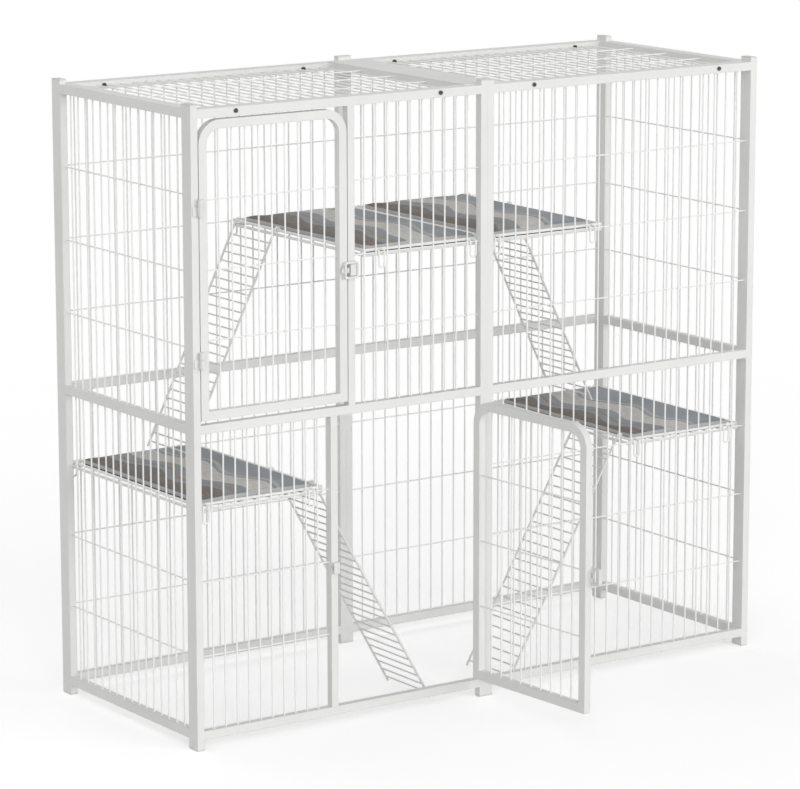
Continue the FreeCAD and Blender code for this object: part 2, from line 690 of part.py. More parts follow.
low_height = size("storey_height") - size("rail_height")
high_height = size("overall_height") - size("post_rise") - size("leg_length") - size("storey_height")
high_height -= 2 * size("rail_height")
door_loss = size("door_top_gap") + size("door_bottom_gap")
upper_numbers = (size("upper_opening") - 2 * size("door_gap"), high_height - door_loss)
lower_numbers = (size("lower_opening") - 2 * size("door_gap"), low_height - door_loss)
upper_left = "(-overall_width / 2 + tube_size)"
lower_left = "(-tube_size - lower_opening)"
upper_door = Door("upper_door", upper_left, HIGH_FLOOR, HIGH_HEIGHT, "upper_opening", True)
lower_door = Door("lower_door", lower_left, LOW_FLOOR, LOW_HEIGHT, "lower_opening", False)
build_door(upper_door, upper_numbers)
build_door(lower_door, lower_numbers)


# Shelves. Each has an upper and a lower rim of round bar, corner posts and deck wires between the
# lower rims. A mat lies on the deck, inside the upper rim. A shelf hangs from cross wires of the
# front and rear grilles by four wire hooks.

HOOK_LEVEL = "(cross_diameter / 2 + hook_diameter / 2 + hook_clearance)"
HIGH_WIRE = "(%s + %s * 2 / (cross_wires + 1))" % (HIGH_FLOOR, HIGH_HEIGHT)
LOW_WIRE = "(%s + %s * 3 / (cross_wires + 1))" % (LOW_FLOOR, LOW_HEIGHT)
SHELF_FRONT = "(tube_size / 2 + shelf_gap + rim_diameter / 2)"
SHELF_DEPTH = "(overall_depth - 2 * tube_size - 2 * shelf_gap - rim_diameter)"
SHELF_RUN = "(shelf_width - rim_diameter)"
DECK_DROP = " + %s - rim_drop" % HOOK_LEVEL
MAT_SEAT = " + deck_diameter / 2 + mat_clearance"


def shelf_frame(label, x, wire_level):
    body = new_body(label + "_bars")
    base = "rim_diameter / 2"
    rims = new_sketch(body, label + "_long_rim_section", "XZ_Plane")
    for across in (None, SHELF_RUN):
        for up in (None, "rim_drop"):
            circle(rims, "rim_diameter", across, up)
    pad(body, rims, label + "_long_rims", SHELF_DEPTH, True)
    rims = new_sketch(body, label + "_short_rim_section", "YZ_Plane")
    for across in (None, SHELF_DEPTH):
        for up in (None, "rim_drop"):
            circle(rims, "rim_diameter", across, up)
    pad(body, rims, label + "_short_rims", SHELF_RUN)
    posts = new_sketch(body, label + "_post_section", "XY_Plane")
    posts.AttachmentOffset = FreeCAD.Placement(FreeCAD.Vector(0, 0, -1), FreeCAD.Rotation())
    bind(posts, {"AttachmentOffset.Base.z": "-" + base})
    for across in (None, SHELF_RUN):
        for up in (None, SHELF_DEPTH):
            circle(posts, "rim_diameter", across, up)
    pad(body, posts, label + "_posts", "rim_drop + rim_diameter")
    deck = new_sketch(body, label + "_deck_section", "XZ_Plane")
    circle(deck, "deck_diameter", "%s / (deck_wires + 1)" % SHELF_RUN)
    wire = pad(body, deck, label + "_deck", SHELF_DEPTH, True)
    run = "%s * (deck_wires - 1) / (deck_wires + 1)" % SHELF_RUN
    repeat(body, wire, label + "_deck_set", "X_Axis", run, "deck_wires")
    move(node(body, label), ("%s + rim_diameter / 2" % x, SHELF_FRONT, wire_level + DECK_DROP))


def shelf_mat(label, x, wire_level):
    mat_size = ("%s - 2 * mat_inset" % SHELF_RUN, "%s - 2 * mat_inset" % SHELF_DEPTH, "mat_thickness")
    mat_x = "%s + rim_diameter / 2 + mat_inset" % x
    mat_y = "%s + mat_inset" % SHELF_FRONT
    seat = wire_level + DECK_DROP + MAT_SEAT
    node(box(label + "_pad", mat_size, (mat_x, mat_y, seat)), label)


def hook(name, x, wire_level, at_front):
    """A U of wire: two arms run out, bend over the cross wire and join in a loop that hangs down."""
    half = "hook_width / 2"
    level = "(%s + %s)" % (wire_level, HOOK_LEVEL)
    if at_front:
        wire_y = CROSS_OFFSET
        loop_y = "(%s - %s)" % (wire_y, HOOK_LEVEL)
        arm_y = wire_y
        arm = "(%s - rim_diameter / 2 - %s)" % (SHELF_FRONT, wire_y)
        over_wire = FreeCAD.Vector(1, -1, -1)
    else:
        wire_y = "(%s - %s)" % (REAR_PLANE, CROSS_OFFSET)
        loop_y = "(%s + %s)" % (wire_y, HOOK_LEVEL)
        arm_y = "(%s + %s + rim_diameter / 2)" % (SHELF_FRONT, SHELF_DEPTH)
        arm = "(%s - %s)" % (wire_y, arm_y)
        over_wire = FreeCAD.Vector(1, 1, 1)
    foot = "(%s - hook_drop)" % wire_level
    pieces = []
    for side, place in (("left", "(%s - %s)" % (x, half)), ("right", "(%s + %s)" % (x, half))):
        title = "%s_%s" % (name, side)
        pieces.append(cylinder(title + "_arm", "hook_diameter", arm, (place, arm_y, level), "y"))
        pieces.append(cylinder(title + "_leg", "hook_diameter", "hook_drop", (place, loop_y, foot)))
        elbow = (title + "_elbow", HOOK_LEVEL, 90)
        pieces.append(move(bend(*elbow), (place, wire_y, wire_level), over_wire, 120))
    loop = bend(name + "_loop", half, 180)
    return fuse(name, pieces + [move(loop, (x, loop_y, foot), X_AXIS, -90)])


def bend(name, radius, angle):
    """A part turn of hook wire."""
    item = doc.addObject("Part::Torus", name)
    item.Angle3 = angle
    bind(item, {"Radius1": radius, "Radius2": "hook_diameter / 2"})
    return item


NARROW_HIGH = (narrow_start, NARROW_UPPER, "narrow_wires")
NARROW_LOW = (low_start, NARROW_LOWER, "narrow_wires")
FULL_LEFT = ("(-overall_width / 2 + tube_size)", PANEL, "front_wires")
FULL_RIGHT = ("tube_size", PANEL, "front_wires")

left_end = "(-overall_width / 2 + tube_size + side_gap)"
right_end = "(overall_width / 2 - tube_size - side_gap - shelf_width)"
left_of_centre = "(shelf_meeting - meeting_gap / 2 - shelf_width)"
right_of_centre = "(shelf_meeting + meeting_gap / 2)"

# For each shelf: its left end, the wire that it hangs from, and the gaps that its hooks pass through.
SHELVES = (
    ("upper_left_shelf", left_of_centre, HIGH_WIRE, NARROW_HIGH, (2, 10), FULL_LEFT, (13, 21)),
    ("upper_right_shelf", right_of_centre, HIGH_WIRE, FULL_RIGHT, (0, 8), FULL_RIGHT, (0, 8)),
    ("lower_left_shelf", left_end, LOW_WIRE, NARROW_LOW, (0, 9), FULL_LEFT, (0, 8)),
    ("lower_right_shelf", right_end, LOW_WIRE, FULL_RIGHT, (12, 20), FULL_RIGHT, (13, 21)),
)
for label, x, wire_level, front_grille, front_gaps, rear_grille, rear_gaps in SHELVES:
    shelf_frame(label + "_frame", x, wire_level)
    shelf_mat(label + "_mat", x, wire_level)
    hooks = []
    for count, number in enumerate(front_gaps):
        place = gap_centre(*front_grille, number)
        hooks.append(hook("%s_front_hook_%d" % (label, count), place, wire_level, True))
    for count, number in enumerate(rear_gaps):
        place = gap_centre(*rear_grille, number)
        hooks.append(hook("%s_rear_hook_%d" % (label, count), place, wire_level, False))
    node(group(label + "_hook_set", hooks), label + "_hooks")


# Ramps. Two round rails end in hooks over a shelf's upper rim and carry the rungs. A ramp is built
# lying flat, with its pivot on the y axis, and is then tipped down to its foot.

RAIL_OFFSET = "(rim_diameter / 2 + ramp_hook_clearance + ramp_rail / 2)"


def ramp(label, x, y, pivot, foot, angle, to_right):
    drop = "(%s - %s)" % (pivot, foot)
    length = "((%s + (%s - ramp_rail / 2) * cos(%s)) / sin(%s))" % (drop, RAIL_OFFSET, angle, angle)
    body = new_body(label + "_bars")
    rails = new_sketch(body, label + "_rail_section", "YZ_Plane")
    for across in (None, "ramp_width"):
        circle(rails, "ramp_rail", across, RAIL_OFFSET)
    pad(body, rails, label + "_rails", length, not to_right)
    hooks = body.newObject("PartDesign::Revolution", label + "_hooks")
    hooks.Profile = rails
    hooks.ReferenceAxis = (rails, ["H_Axis"])
    hooks.Angle = 180
    hooks.Reversed = to_right
    body.Tip = hooks
    rungs = new_sketch(body, label + "_rung_section", "XZ_Plane")
    circle(rungs, "ramp_rung", None, RAIL_OFFSET)
    reach = "(%s - 2 * rung_margin)" % length
    shift = "rung_margin" if to_right else "-rung_margin"
    rungs.AttachmentOffset = FreeCAD.Placement(FreeCAD.Vector(1, 0, 0), FreeCAD.Rotation())
    bind(rungs, {"AttachmentOffset.Base.x": shift})
    rung = pad(body, rungs, label + "_rung", "ramp_width", True)
    repeat(body, rung, label + "_rung_set", "X_Axis", reach, "ramp_rungs", not to_right)
    node(body, label)
    body.Placement = FreeCAD.Placement(FreeCAD.Vector(), FreeCAD.Rotation(Y_AXIS, 1))
    bind(body, {
        "Placement.Rotation.Angle": angle if to_right else "-" + angle,
        "Placement.Base.x": x,
        "Placement.Base.y": y,
        "Placement.Base.z": pivot,
    })


HIGH_PIVOT = "(%s + %s)" % (HIGH_WIRE, HOOK_LEVEL)
LOW_PIVOT = "(%s + %s)" % (LOW_WIRE, HOOK_LEVEL)
MAT_TOP = "(%s + mat_thickness + ramp_foot_clearance)" % (LOW_WIRE + DECK_DROP + MAT_SEAT)
rear_ramp = "(%s + %s - upper_ramp_rear_gap - ramp_width)" % (SHELF_FRONT, SHELF_DEPTH)
front_ramp = "(%s + lower_ramp_front_gap)" % SHELF_FRONT
left_rim = "%s + rim_diameter / 2"
right_rim = "%s + shelf_width - rim_diameter / 2"
upper_run = (rear_ramp, HIGH_PIVOT, MAT_TOP, "upper_ramp_angle")
lower_run = (front_ramp, LOW_PIVOT, "ramp_foot_clearance", "lower_ramp_angle")
ramp("upper_left_ramp", left_rim % left_of_centre, *upper_run, False)
ramp("upper_right_ramp", right_rim % right_of_centre, *upper_run, True)
ramp("lower_left_ramp", right_rim % left_end, *lower_run, True)
ramp("lower_right_ramp", left_rim % right_end, *lower_run, False)


# Roof bolts: a round head outside, a shank through the top rail and the roof tube, a nut inside.

def roof_bolt(name, x, at_front):
    outside = FRONT_FACE if at_front else "(overall_depth - tube_size / 2)"
    through = "(2 * tube_size + nut_height + bolt_tip)"
    head_y = "%s - head_height" % outside if at_front else outside
    shank_y = outside if at_front else "%s - %s" % (outside, through)
    head = cylinder(name + "_head", "head_diameter", "head_height", (x, head_y, BOLT_LEVEL), "y")
    shank = cylinder(name + "_shank", "bolt_diameter", through, (x, shank_y, BOLT_LEVEL), "y")
    return fuse(name, [head, shank])


def roof_nut(name, x, at_front):
    inside = "(1.5 * tube_size)" if at_front else "(overall_depth - 2.5 * tube_size - nut_height)"
    block = doc.addObject("Part::Prism", name + "_block")
    block.Polygon = 6
    bind(block, {"Circumradius": "nut_width / 2 / cos(30)", "Height": "nut_height"})
    move(block, (x, inside, BOLT_LEVEL), X_AXIS, -90)
    thread = "bolt_diameter + 2 * thread_clearance"
    hole = cylinder(name + "_thread", thread, "nut_height", (x, inside, BOLT_LEVEL), "y")
    return cut(name, block, hole)


bolts = []
nuts = []
for count, x in enumerate(LEFT_BOLTS + RIGHT_BOLTS):
    for side, at_front in (("front", True), ("rear", False)):
        bolts.append(roof_bolt("roof_bolt_%s_%d" % (side, count), x, at_front))
        nuts.append(roof_nut("roof_nut_%s_%d" % (side, count), x, at_front))
node(group("roof_bolt_set", bolts), "roof_bolts")
node(group("roof_nut_set", nuts), "roof_nuts")


# Caps and feet: each closes the ends of two neighbouring posts and ties their panels together.

def end_plug(name, x, y, along_x, at_top):
    plug = "(tube_size - 2 * tube_wall - 2 * plug_clearance)"
    margin = "(tube_wall + plug_clearance)"
    thickness = "cap_thickness" if at_top else "foot_thickness"
    plate_z = "overall_height - cap_thickness" if at_top else "0 * foot_thickness"
    plug_z = "overall_height - cap_thickness - plug_length" if at_top else "foot_thickness"
    plate_sides = ("2 * tube_size", "tube_size") if along_x else ("tube_size", "2 * tube_size")
    pieces = [box(name + "_plate", (*plate_sides, thickness), (x, y, plate_z))]
    for number in (0, 1):
        step = "%d * tube_size" % number
        plug_x = "%s + %s" % (x, margin) + (" + " + step if along_x else "")
        plug_y = "%s + %s" % (y, margin) + ("" if along_x else " + " + step)
        plug_at = (plug_x, plug_y, plug_z)
        pieces.append(box("%s_plug_%d" % (name, number), (plug, plug, "plug_length"), plug_at))
    return fuse(name, pieces)


rear_corner = "(overall_depth - 2.5 * tube_size)"
POSTS = (
    ("front_left", LEFT, FRONT_FACE, False),
    ("front_centre", "-tube_size", FRONT_FACE, True),
    ("front_right", "(overall_width / 2 - tube_size)", FRONT_FACE, False),
    ("rear_left", LEFT, rear_corner, False),
    ("rear_centre", "-tube_size", "(overall_depth - 1.5 * tube_size)", True),
    ("rear_right", "(overall_width / 2 - tube_size)", rear_corner, False),
)
caps = [end_plug(name + "_cap", x, y, along_x, True) for name, x, y, along_x in POSTS]
feet = [end_plug(name + "_foot", x, y, along_x, False) for name, x, y, along_x in POSTS]
node(group("cap_set", caps), "post_caps")
node(group("foot_set", feet), "post_feet")

doc.recompute()

# Nothing is written unless every object is sound.
faults = []
for item in doc.Objects:
    if "Invalid" in item.State or "Error" in item.State:
        faults.append("%s: %s" % (item.Name, item.State))
for item in nodes:
    if item.Shape.isNull() or not item.Shape.isValid():
        faults.append("%s: no valid shape" % item.Label)
if faults:
    raise RuntimeError("; ".join(faults))

os.makedirs("parts", exist_ok=True)
for item in nodes:
    item.Shape.exportStep("parts/%s.step" % item.Label)
    print(item.Label, len(item.Shape.Solids), "solids", round(item.Shape.Volume), "mm3")
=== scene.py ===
import json
import math

import bmesh
import bpy
from mathutils import Matrix, Vector
from mathutils.bvhtree import BVHTree


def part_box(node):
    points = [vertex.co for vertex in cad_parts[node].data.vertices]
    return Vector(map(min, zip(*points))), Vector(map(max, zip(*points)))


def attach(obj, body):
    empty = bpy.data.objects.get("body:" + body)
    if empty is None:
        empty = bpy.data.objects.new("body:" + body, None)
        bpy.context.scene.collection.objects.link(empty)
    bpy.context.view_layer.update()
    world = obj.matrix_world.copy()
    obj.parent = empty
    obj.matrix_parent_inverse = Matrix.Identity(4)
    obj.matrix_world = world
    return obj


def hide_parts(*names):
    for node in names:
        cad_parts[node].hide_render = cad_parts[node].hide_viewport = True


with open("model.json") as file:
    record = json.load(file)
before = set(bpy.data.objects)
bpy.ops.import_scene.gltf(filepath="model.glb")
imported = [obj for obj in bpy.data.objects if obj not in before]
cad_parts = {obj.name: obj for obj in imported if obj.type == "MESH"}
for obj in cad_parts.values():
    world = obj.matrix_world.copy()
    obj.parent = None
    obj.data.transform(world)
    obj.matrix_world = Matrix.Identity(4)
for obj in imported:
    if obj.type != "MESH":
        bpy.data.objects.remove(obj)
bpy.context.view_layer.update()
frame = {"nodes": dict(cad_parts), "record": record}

NODES = frame["nodes"]
MM = 0.001


# Materials are built from nodes: broad colour drift, fine grain in the roughness and a small bump.

# The levels between which most of a noise texture lies, and the whole range of a share.
NOISE_SPAN = (0.3, 0.7)
WHOLE = (0.0, 1.0)

# Sockets of the Mix node that hold colours.
MIX_FIRST = 6
MIX_SECOND = 7
MIX_RESULT = 2


class Graph:
    """A material's node tree with short calls for the nodes used here."""

    def __init__(self, name):
        self.material = bpy.data.materials.new(name)
        self.material.use_nodes = True
        self.tree = self.material.node_tree
        self.tree.nodes.clear()
        self.output = self.tree.nodes.new("ShaderNodeOutputMaterial")
        self.shader = self.tree.nodes.new("ShaderNodeBsdfPrincipled")
        self.link(self.shader.outputs[0], self.output.inputs["Surface"])
        self.place = self.tree.nodes.new("ShaderNodeTexCoord").outputs["Object"]

    def link(self, source, target):
        self.tree.links.new(source, target)

    def put(self, value, target):
        """Links a socket to the target, or sets a constant on it."""
        if isinstance(value, bpy.types.NodeSocket):
            self.link(value, target)
        else:
            target.default_value = value

    def set(self, socket, value):
        """Sets one of the shader's own sockets."""
        self.put(value, self.shader.inputs[socket])

    def noise(self, scale, detail=3.0):
        node = self.tree.nodes.new("ShaderNodeTexNoise")
        node.inputs["Scale"].default_value = scale
        node.inputs["Detail"].default_value = detail
        node.inputs["Roughness"].default_value = 0.55
        self.link(self.place, node.inputs["Vector"])
        return node.outputs["Fac"]

    def wave(self, scale, direction):
        node = self.tree.nodes.new("ShaderNodeTexWave")
        node.bands_direction = direction
        node.inputs["Scale"].default_value = scale
        self.link(self.place, node.inputs["Vector"])
        return node.outputs["Fac"]

    def math(self, operation, first, second=0.0):
        node = self.tree.nodes.new("ShaderNodeMath")
        node.operation = operation
        self.put(first, node.inputs[0])
        self.put(second, node.inputs[1])
        return node.outputs[0]

    def remap(self, value, span, result, smooth=False):
        """Moves a value from one range to another and holds it there."""
        node = self.tree.nodes.new("ShaderNodeMapRange")
        node.interpolation_type = "SMOOTHSTEP" if smooth else "LINEAR"
        for index, number in enumerate((*span, *result), start=1):
            node.inputs[index].default_value = number
        self.link(value, node.inputs[0])
        return node.outputs[0]

    def blend(self, share, first, second):
        """Mixes two colours, each a socket or three numbers."""
        node = self.tree.nodes.new("ShaderNodeMix")
        node.data_type = "RGBA"
        self.put(share, node.inputs[0])
        for value, socket in ((first, MIX_FIRST), (second, MIX_SECOND)):
            colour = value if isinstance(value, bpy.types.NodeSocket) else (*value, 1.0)
            self.put(colour, node.inputs[socket])
        return node.outputs[MIX_RESULT]

    def rough(self, scale, low, high):
        """Gives the shader a roughness that varies with fine grain."""
        self.set("Roughness", self.remap(self.noise(scale), NOISE_SPAN, (low, high)))

    def bump(self, height, strength, distance, edge=0.0):
        """Gives the shader a relief, and softens sharp edges by a radius."""
        node = self.tree.nodes.new("ShaderNodeBump")
        node.inputs["Strength"].default_value = strength
        node.inputs["Distance"].default_value = distance
        self.link(height, node.inputs["Height"])
        if edge:
            bevel = self.tree.nodes.new("ShaderNodeBevel")
            bevel.samples = 4
            bevel.inputs["Radius"].default_value = edge
            self.link(bevel.outputs[0], node.inputs["Normal"])
        self.set("Normal", node.outputs[0])


def powder_coat(name, tone, shade, edge, gloss=0.48):
    """White powder coat: slight drift in tone, dust specks, an orange-peel skin and softened edges."""
    graph = Graph(name)
    drift = graph.remap(graph.noise(5.0, detail=4.0), NOISE_SPAN, WHOLE, smooth=True)
    specks = graph.remap(graph.noise(900.0, detail=2.0), (0.66, 0.74), (0.0, 0.35), smooth=True)
    dust = tuple(0.86 * value for value in shade)
    graph.set("Base Color", graph.blend(specks, graph.blend(drift, tone, shade), dust))
    graph.rough(60.0, gloss - 0.06, gloss + 0.07)
    graph.set("Specular IOR Level", 0.3)
    graph.bump(graph.noise(420.0, detail=2.0), strength=0.10, distance=0.6 * MM, edge=edge)
    return graph.material


def moulded_plastic():
    graph = Graph("white_moulded_plastic")
    graph.set("Base Color", graph.blend(graph.noise(22.0), (0.74, 0.74, 0.73), (0.66, 0.66, 0.65)))
    graph.rough(140.0, 0.5, 0.66)
    graph.bump(graph.noise(700.0, detail=2.0), strength=0.12, distance=0.4 * MM, edge=0.8 * MM)
    return graph.material


def black_steel():
    graph = Graph("blackened_steel")
    drift = graph.noise(180.0, detail=4.0)
    graph.set("Base Color", graph.blend(drift, (0.040, 0.036, 0.033), (0.070, 0.064, 0.058)))
    graph.rough(320.0, 0.3, 0.5)
    graph.set("Metallic", 0.35)
    graph.bump(graph.noise(900.0, detail=2.0), strength=0.2, distance=0.3 * MM, edge=0.8 * MM)
    return graph.material


def woven_height(graph, threads):
    """Over-and-under weave: two sets of ribs that cross at right angles."""
    return graph.math("MULTIPLY", graph.wave(threads, "X"), graph.wave(threads, "Y"))


# Bands of the print: middle and half width across the mat, and the two tones of each.
BANDS = (
    (-128 * MM, 38 * MM, (0.185, 0.168, 0.152), (0.240, 0.220, 0.200)),
    (-68 * MM, 5 * MM, (0.300, 0.250, 0.205), (0.350, 0.300, 0.250)),
    (-8 * MM, 30 * MM, (0.560, 0.545, 0.520), (0.660, 0.645, 0.620)),
    (36 * MM, 5 * MM, (0.440, 0.435, 0.425), (0.520, 0.515, 0.500)),
)
BAND_BLUR = 1.5 * MM
WAVE_LENGTH = 230 * MM
WAVE_HEIGHT = 17 * MM
WAVE_STRAY = 12 * MM


def mat_cloth(name, shift, phase):
    """Printed cloth: a slate ground, a brown end, and pale bands that wander along the mat."""
    graph = Graph(name)
    split = graph.tree.nodes.new("ShaderNodeSeparateXYZ")
    graph.link(graph.place, split.inputs[0])
    across, along = split.outputs[0], split.outputs[1]
    cloud = graph.remap(graph.noise(7.0, detail=4.0), (0.34, 0.66), WHOLE, smooth=True)
    colour = graph.blend(cloud, (0.290, 0.308, 0.328), (0.360, 0.378, 0.398))
    fleck = graph.remap(graph.noise(120.0, detail=2.0), (0.35, 0.65), WHOLE)
    turn = graph.math("ADD", graph.math("MULTIPLY", along, 2 * math.pi / WAVE_LENGTH), phase)
    swing = graph.math("MULTIPLY", graph.math("SINE", turn), WAVE_HEIGHT)
    wander = graph.math("SUBTRACT", graph.noise(16.0, detail=2.0), 0.5)
    stray = graph.math("MULTIPLY", wander, WAVE_STRAY)
    line = graph.math("SUBTRACT", across, graph.math("ADD", swing, stray))
    for middle, half, first, second in BANDS:
        away = graph.math("ABSOLUTE", graph.math("SUBTRACT", line, middle + shift))
        share = graph.remap(away, (half - BAND_BLUR, half + BAND_BLUR), (1.0, 0.0), smooth=True)
        colour = graph.blend(share, colour, graph.blend(fleck, first, second))
    graph.set("Base Color", colour)
    graph.rough(300.0, 0.78, 0.94)
    graph.set("Sheen Weight", 0.08)
    graph.set("Specular IOR Level", 0.2)
    graph.bump(woven_height(graph, 260.0), strength=0.35, distance=0.5 * MM)
    return graph.material


# Near-black cloth for the pad's underside and lower side: partly a dark cloth, partly painted shade in
# the gap under the mat.
def under_cloth_and_painted_shade():
    graph = Graph("dark_under_cloth")
    graph.set("Base Color", graph.blend(graph.noise(60.0), (0.030, 0.030, 0.031), (0.052, 0.052, 0.053)))
    graph.rough(260.0, 0.82, 0.95)
    graph.bump(woven_height(graph, 300.0), strength=0.3, distance=0.4 * MM)
    return graph.material


def edge_cloth():
    graph = Graph("pale_edge_cloth")
    graph.set("Base Color", graph.blend(graph.noise(40.0), (0.46, 0.46, 0.455), (0.54, 0.54, 0.53)))
    graph.rough(260.0, 0.8, 0.95)
    graph.bump(woven_height(graph, 330.0), strength=0.3, distance=0.4 * MM)
    return graph.material


def thread():
    graph = Graph("stitch_thread")
    graph.set("Base Color", graph.blend(graph.noise(500.0), (0.20, 0.21, 0.22), (0.30, 0.31, 0.32)))
    graph.set("Roughness", 0.8)
    graph.bump(graph.noise(1500.0), strength=0.3, distance=0.2 * MM)
    return graph.material


# White coats, each with its lighter and darker tone. Wire is shinier than tube, and its lighter
# tones are painted light on the same white coat.
TUBE_TONES = ((0.80, 0.80, 0.79), (0.765, 0.765, 0.752))
WIRE_TONES_WITH_PAINTED_LIGHT = ((0.90, 0.90, 0.89), (0.875, 0.875, 0.865))
PLATE_TONES = ((0.785, 0.785, 0.775), (0.745, 0.745, 0.735))
WIRE_GLOSS = 0.42

# Ramps are wire with the wire's gloss but the tube's darker tones: painted shade, darker than the other
# wire.
RAMP_FINISH_PAINTED_SHADE = "ramp"
finishes = {
    "white_tube": powder_coat("white_tube_coat", *TUBE_TONES, edge=1.2 * MM),
    "white_wire": powder_coat("white_wire_coat_painted_light", *WIRE_TONES_WITH_PAINTED_LIGHT, edge=0.0, gloss=WIRE_GLOSS),
    RAMP_FINISH_PAINTED_SHADE: powder_coat("white_ramp_coat_painted_shade", *TUBE_TONES, edge=0.0, gloss=WIRE_GLOSS),
    "white_plate": powder_coat("white_plate_coat", *PLATE_TONES, edge=0.6 * MM),
    "white_plug": moulded_plastic(),
    "black_bolt": black_steel(),
}
edging = edge_cloth()
underside = under_cloth_and_painted_shade()
stitching = thread()

MAT_SLOT = "mat_cloth"
mats = []
for part in frame["record"]["subparts"]:
    name, slot = part["node"], part["material_slot"]
    if slot == MAT_SLOT:
        mats.append(name)
        continue
    slots = NODES[name].data.materials
    slots.clear()
    slots.append(finishes[RAMP_FINISH_PAINTED_SHADE if name.endswith("_ramp") else slot])


# Mats: a pad of printed cloth that is blown up by cloth simulation, with dark cloth below that is
# partly painted shade, a pale cloth band round the upper part of its side and a row of stitches
# inside the band.

# The blank is smaller than the pad by SHRINK, and no point of it moves further than that.
SHRINK = 4 * MM
CORNER = 6 * MM
VOXEL = 5 * MM
PRESSURE = 4.0
FRAMES = 20

# A pad's cloths, as its material slots. A face has the print where its normal points up by more
# than TOP_SLOPE, and of the others the band has those above BAND_LOW.
PRINT, BAND, UNDER = 0, 1, 2
TOP_SLOPE = 0.8
BAND_LOW = 9.5 * MM
BAND_LIFT = 0.3 * MM
BAND_THICKNESS = 0.6 * MM

# Stitches: the distance of their line from the mat's side and its corner radius, the spacing, the
# least gap at corners, and one stitch's half length, half width and ridge.
STITCH_BACK = 13 * MM
STITCH_CORNER = 4 * MM
STITCH_SPACING = 5 * MM
STITCH_LEAST = 4 * MM
STITCH_REACH = 1.7 * MM
STITCH_WIDTH = 0.4 * MM
STITCH_RIDGE = 0.3 * MM
# Places along a stitch, in half lengths, and how high it stands there above the cloth.
STITCH_ARCH = ((-1.0, -0.3 * MM), (-0.5, 0.35 * MM), (0.5, 0.35 * MM), (1.0, -0.3 * MM))

# For each mat in turn: how far the bands move across it and where their wave starts.
PRINTS = ((12 * MM, 0.4), (-6 * MM, 2.1), (20 * MM, 3.7), (4 * MM, 5.2))
SEED_STEP = 1.3


def new_piece(name, mesh, place, material):
    item = bpy.data.objects.new(name, mesh)
    item.location = place
    bpy.context.scene.collection.objects.link(item)
    mesh.materials.append(material)
    for polygon in mesh.polygons:
        polygon.use_smooth = True
    return item


def subdivide(item):
    smooth = item.modifiers.new("smooth", "SUBSURF")
    smooth.levels = 1
    smooth.render_levels = 1


def blank_mesh(wide, deep, thick):
    """The unfilled pad: a flat block with round corners and a softened upper edge."""
    mesh = bpy.data.meshes.new("pad_blank")
    shape = bmesh.new()
    bmesh.ops.create_cube(shape, size=1.0)
    for vert in shape.verts:
        vert.co = Vector((vert.co.x * wide, vert.co.y * deep, (vert.co.z + 0.5) * thick))
    upright = [edge for edge in shape.edges
               if abs(edge.verts[0].co.z - edge.verts[1].co.z) > thick / 2]
    bmesh.ops.bevel(shape, geom=upright, offset=CORNER, segments=6, affect="EDGES", profile=0.5)
    upper = [edge for edge in shape.edges if min(vert.co.z for vert in edge.verts) > 0.99 * thick]
    bmesh.ops.bevel(shape, geom=upper, offset=SHRINK, segments=4, affect="EDGES", profile=0.5)
    shape.to_mesh(mesh)
    shape.free()
    return mesh


def evaluated_mesh(item):
    graph = bpy.context.evaluated_depsgraph_get()
    return bpy.data.meshes.new_from_object(item.evaluated_get(graph))


def voxel_mesh(item):
    """The item's mesh as an even grid of faces."""
    remesh = item.modifiers.new("voxels", "REMESH")
    remesh.mode = "VOXEL"
    remesh.voxel_size = VOXEL
    mesh = evaluated_mesh(item)
    item.modifiers.clear()
    return mesh


def inflate(item):
    """Runs the cloth simulation with pressure inside and the underside held flat."""
    held = item.vertex_groups.new(name="underside")
    flat = [vert.index for vert in item.data.vertices if vert.co.z < VOXEL / 2]
    held.add(flat, 1.0, "REPLACE")
    cloth = item.modifiers.new("cloth", "CLOTH")
    cloth.settings.use_pressure = True
    cloth.settings.uniform_pressure_force = PRESSURE
    cloth.settings.effector_weights.gravity = 0.0
    cloth.settings.vertex_group_mass = held.name
    cloth.collision_settings.use_collision = False
    cloth.point_cache.frame_start = 1
    cloth.point_cache.frame_end = FRAMES
    for number in range(1, FRAMES + 1):
        bpy.context.scene.frame_set(number)
    return evaluated_mesh(item)


def cloth_index(face):
    """Which of the pad's cloths a face of the blank has."""
    if face.normal.z > TOP_SLOPE:
        return PRINT
    return BAND if face.center.z > BAND_LOW else UNDER


def filled_mesh(wide, deep, thick):
    """A pad of the given size, blown up from a smaller blank."""
    scene = bpy.context.scene
    blank = blank_mesh(wide - SHRINK, deep - SHRINK, thick - SHRINK)
    item = bpy.data.objects.new("pad_filling", blank)
    scene.collection.objects.link(item)
    item.data = start = voxel_mesh(item)
    filled = inflate(item)
    for vert, origin in zip(filled.vertices, start.vertices):
        step = vert.co - origin.co
        if step.length > SHRINK:
            vert.co = origin.co + step.normalized() * SHRINK
    for face, origin in zip(filled.polygons, start.polygons):
        face.material_index = cloth_index(origin)
    scene.frame_set(1)
    bpy.data.objects.remove(item)
    return filled


def swell(x, y, seed):
    """A pad's slight unevenness, a broad and a finer wave that only lower its top."""
    broad = 0.45 * math.sin(23 * x + seed) * math.cos(17 * y + 2 * seed)
    fine = 0.25 * math.sin(61 * x - 37 * y)
    return (broad + fine - 0.7) * MM


def pad_mesh(name, filled, seed):
    """A copy of the filled pad, uneven in its upper half."""
    mesh = filled.copy()
    mesh.name = name
    half = max(vert.co.z for vert in mesh.vertices) / 2
    for vert in mesh.vertices:
        share = max(0.0, vert.co.z - half) / half
        vert.co.z += swell(vert.co.x, vert.co.y, seed) * share
    return mesh


